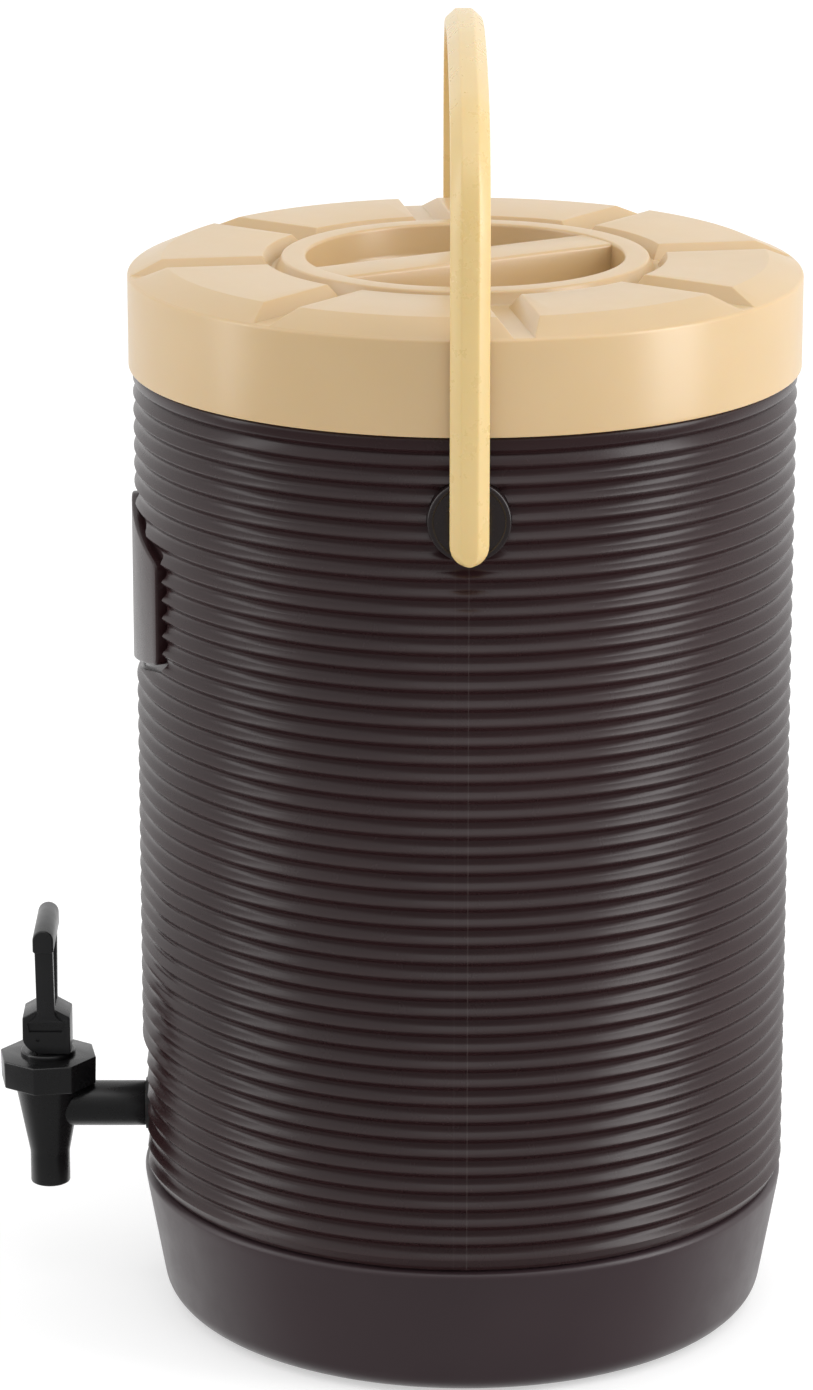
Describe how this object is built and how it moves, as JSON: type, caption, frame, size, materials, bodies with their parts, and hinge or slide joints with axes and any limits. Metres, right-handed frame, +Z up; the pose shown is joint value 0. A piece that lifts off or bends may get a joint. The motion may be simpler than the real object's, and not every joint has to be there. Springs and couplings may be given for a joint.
{
  "type": "insulated food carrier",
  "caption": "Round insulated carrier for hot or cold drinks, with a ribbed double wall, steel lining, grip-topped lift-off lid, swinging bail and flip-lever tap.",
  "frame": {"origin": "on the floor, on the barrel's axis, in the middle of the base's centre pad", "axes": "+Z up along the barrel's axis; the tap points to -Y; the bail's pivots are on +X and -X"},
  "size_m": [0.3146, 0.3595, 0.583],
  "materials": {
    "brown_shell": "moulded, satin",
    "brown_base": "moulded, satin",
    "brown_neck": "moulded, satin",
    "brown_socket": "moulded, satin",
    "cream_lid": "moulded, soft gloss",
    "cream_bail": "moulded, soft gloss",
    "white_tray": "moulded",
    "foam_body": "closed-cell foam",
    "foam_lid": "closed-cell foam",
    "steel_liner": "brushed stainless",
    "steel_stem": "turned",
    "steel_spring": "drawn wire",
    "steel_pin": "ground",
    "steel_nut": "turned",
    "black_tap": "moulded, satin",
    "black_bonnet": "moulded, satin",
    "black_lever": "moulded, satin",
    "black_plug": "moulded",
    "silicone_lid": "translucent silicone",
    "silicone_gasket": "silicone",
    "silicone_plug": "silicone",
    "silicone_inner": "silicone",
    "rubber_outer": "moulded rubber"
  },
  "bodies": {
    "barrel": {"outer_shell": "brown_shell", "base_pan": "brown_base", "fill_plug": "black_plug", "foam_insulation": "foam_body", "inner_liner": "steel_liner", "neck_ring": "brown_neck", "pivot_socket_right": "brown_socket", "pivot_socket_left": "brown_socket", "tap_body": "black_tap", "tap_bonnet": "black_bonnet", "bonnet_gasket": "silicone_gasket", "tap_spring": "steel_spring", "outer_washer": "rubber_outer", "inner_washer": "silicone_inner", "lock_nut": "steel_nut"},
    "lid": {"lid_top": "cream_lid", "lid_foam": "foam_lid", "lid_under": "white_tray", "lid_seal": "silicone_lid"},
    "bail": {"bail_handle": "cream_bail"},
    "stem": {"tap_stem": "steel_stem", "tap_seat_plug": "silicone_plug"},
    "lever": {"tap_lever": "black_lever", "lever_pin": "steel_pin"}
  },
  "joints": [
    {"name": "lid_lift", "type": "slide", "parent": "barrel", "child": "lid", "axis": [0, 0, 1], "range_m": [0, 0.045]},
    {"name": "bail_swing", "type": "hinge", "parent": "barrel", "child": "bail", "pos_m": [0, 0, 0.398], "axis": [1, 0, 0], "range_deg": [-120, 120]},
    {"name": "stem_lift", "type": "slide", "parent": "barrel", "child": "stem", "axis": [0, 0, 1], "range_m": [0, 0.004], "stiffness_N_per_m": 800, "springref_m": -0.006, "deforming": ["tap_spring"]},
    {"name": "lever_flip", "type": "hinge", "parent": "stem", "child": "lever", "pos_m": [0, -0.1895, 0.1197], "axis": [1, 0, 0], "range_deg": [0, 90]}
  ],
  "couplings": [
    {"joint": "stem_lift", "follows": "lever_flip", "m_per_rad": 0.002546}
  ]
}
